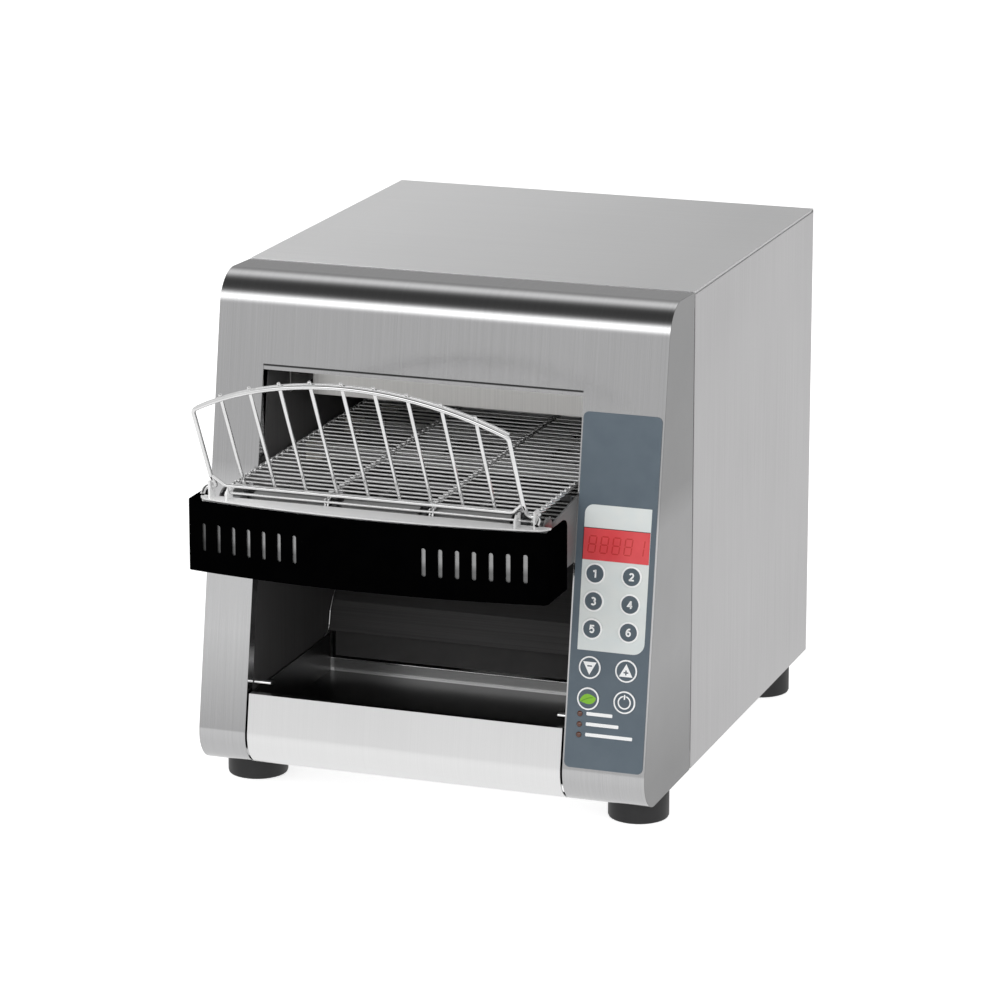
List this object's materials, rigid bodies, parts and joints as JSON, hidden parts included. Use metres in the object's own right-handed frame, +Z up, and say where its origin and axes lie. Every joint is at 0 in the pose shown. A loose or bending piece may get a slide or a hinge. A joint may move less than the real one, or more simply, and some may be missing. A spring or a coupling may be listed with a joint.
{
  "type": "conveyor toaster",
  "caption": "Countertop conveyor toaster: stainless case, wire belt feed with a folding wire rack, sliding collector tray, keypad column on the right",
  "frame": {"origin": "centre of the footprint on the table, under the feet", "axes": "+X to the right of someone facing the front, +Y from the front to the rear, +Z up"},
  "size_m": [0.3682, 0.5882, 0.408],
  "materials": {
    "stainless": "brushed stainless steel",
    "dark_steel": "heat-darkened steel sheet",
    "bright_reflector": "bright reflector sheet",
    "bright_wire": "bright drawn wire",
    "black_paint": "satin black powder coat",
    "black_rubber": "moulded rubber",
    "quartz": "clear quartz tube",
    "ceramic": "unglazed ceramic",
    "slate_film": "printed polyester overlay",
    "red_window": "tinted display lens",
    "lamp": "unlit red lens",
    "key_cap": "embossed membrane key",
    "circuit": "glass-fibre board",
    "machine_steel": "plain machined steel",
    "bronze": "sintered bronze",
    "motor_paint": "grey painted housing",
    "black_plastic": "moulded black plastic"
  },
  "bodies": {
    "cabinet": {"front_panel": "stainless", "top_panel": "stainless", "left_side_panel": "stainless", "right_side_panel": "stainless", "rear_panel": "stainless", "base_pan": "stainless", "front_left_foot": "black_rubber", "front_right_foot": "black_rubber", "rear_left_foot": "black_rubber", "rear_right_foot": "black_rubber", "left_liner": "dark_steel", "right_liner": "dark_steel", "upper_reflector": "bright_reflector", "upper_heaters": "quartz", "lower_heaters": "quartz", "heater_end_blocks": "ceramic", "return_chute": "dark_steel", "left_rail": "stainless", "right_rail": "stainless", "belt_support_bars": "machine_steel", "wire_belt": "bright_wire", "shaft_bushings": "bronze", "front_cover": "black_paint", "front_ledge": "stainless", "guide_rod": "bright_wire", "tray_runners": "stainless", "tray_pins": "bright_wire", "control_overlay": "slate_film", "display_window": "red_window", "indicator_lamps": "lamp", "control_board": "circuit", "gearmotor": "motor_paint", "drive_chain": "machine_steel", "fan_frame": "black_plastic", "cord_gland": "black_plastic", "terminal_block": "black_plastic"},
    "rack": {"loading_rack": "bright_wire", "rack_slats": "bright_wire"},
    "tray": {"collector_tray": "stainless"},
    "drive_shaft_group": {"drive_shaft": "machine_steel", "drive_belt_sprockets": "machine_steel", "driven_sprocket": "machine_steel"},
    "idler_shaft_group": {"idler_shaft": "machine_steel", "idler_belt_sprockets": "machine_steel"},
    "motor_output": {"motor_shaft": "machine_steel", "motor_sprocket": "machine_steel"},
    "fan_wheel": {"fan_rotor": "black_plastic"},
    "key_1_cap": {"key_1": "key_cap"},
    "key_2_cap": {"key_2": "key_cap"},
    "key_3_cap": {"key_3": "key_cap"},
    "key_4_cap": {"key_4": "key_cap"},
    "key_5_cap": {"key_5": "key_cap"},
    "key_6_cap": {"key_6": "key_cap"},
    "key_down_cap": {"key_down": "key_cap"},
    "key_up_cap": {"key_up": "key_cap"},
    "key_eco_cap": {"key_eco": "key_cap"},
    "key_power_cap": {"key_power": "key_cap"}
  },
  "joints": [
    {"name": "rack_hinge", "type": "hinge", "parent": "cabinet", "child": "rack", "pos_m": [-0.0135, -0.23195, 0.2685], "axis": [-1, 0, 0], "range_deg": [0, 100]},
    {"name": "tray_slide", "type": "slide", "parent": "cabinet", "child": "tray", "axis": [0, -1, 0], "range_m": [0, 0.17]},
    {"name": "drive_spin", "type": "hinge", "parent": "cabinet", "child": "drive_shaft_group", "pos_m": [0, 0.18905, 0.24973], "axis": [-1, 0, 0], "continuous": true},
    {"name": "idler_spin", "type": "hinge", "parent": "cabinet", "child": "idler_shaft_group", "pos_m": [0, -0.20695, 0.24973], "axis": [-1, 0, 0], "continuous": true},
    {"name": "motor_spin", "type": "hinge", "parent": "cabinet", "child": "motor_output", "pos_m": [0.134, 0.13205, 0.14], "axis": [-1, 0, 0], "continuous": true},
    {"name": "fan_spin", "type": "hinge", "parent": "cabinet", "child": "fan_wheel", "pos_m": [0.15, 0.27205, 0.34], "axis": [0, 1, 0], "continuous": true},
    {"name": "key_1_press", "type": "slide", "parent": "cabinet", "child": "key_1_cap", "axis": [0, 0.9867, -0.1625], "range_m": [0, 0.0003], "stiffness_N_per_m": 800, "springref_m": -0.0003},
    {"name": "key_2_press", "type": "slide", "parent": "cabinet", "child": "key_2_cap", "axis": [0, 0.9867, -0.1625], "range_m": [0, 0.0003], "stiffness_N_per_m": 800, "springref_m": -0.0003},
    {"name": "key_3_press", "type": "slide", "parent": "cabinet", "child": "key_3_cap", "axis": [0, 0.9867, -0.1625], "range_m": [0, 0.0003], "stiffness_N_per_m": 800, "springref_m": -0.0003},
    {"name": "key_4_press", "type": "slide", "parent": "cabinet", "child": "key_4_cap", "axis": [0, 0.9867, -0.1625], "range_m": [0, 0.0003], "stiffness_N_per_m": 800, "springref_m": -0.0003},
    {"name": "key_5_press", "type": "slide", "parent": "cabinet", "child": "key_5_cap", "axis": [0, 0.9867, -0.1625], "range_m": [0, 0.0003], "stiffness_N_per_m": 800, "springref_m": -0.0003},
    {"name": "key_6_press", "type": "slide", "parent": "cabinet", "child": "key_6_cap", "axis": [0, 0.9867, -0.1625], "range_m": [0, 0.0003], "stiffness_N_per_m": 800, "springref_m": -0.0003},
    {"name": "key_down_press", "type": "slide", "parent": "cabinet", "child": "key_down_cap", "axis": [0, 0.9867, -0.1625], "range_m": [0, 0.0003], "stiffness_N_per_m": 800, "springref_m": -0.0003},
    {"name": "key_up_press", "type": "slide", "parent": "cabinet", "child": "key_up_cap", "axis": [0, 0.9867, -0.1625], "range_m": [0, 0.0003], "stiffness_N_per_m": 800, "springref_m": -0.0003},
    {"name": "key_eco_press", "type": "slide", "parent": "cabinet", "child": "key_eco_cap", "axis": [0, 0.9867, -0.1625], "range_m": [0, 0.0003], "stiffness_N_per_m": 800, "springref_m": -0.0003},
    {"name": "key_power_press", "type": "slide", "parent": "cabinet", "child": "key_power_cap", "axis": [0, 0.9867, -0.1625], "range_m": [0, 0.0003], "stiffness_N_per_m": 800, "springref_m": -0.0003}
  ],
  "couplings": [
    {"joint": "idler_spin", "follows": "drive_spin", "ratio": 1},
    {"joint": "motor_spin", "follows": "drive_spin", "ratio": 1.3333}
  ]
}
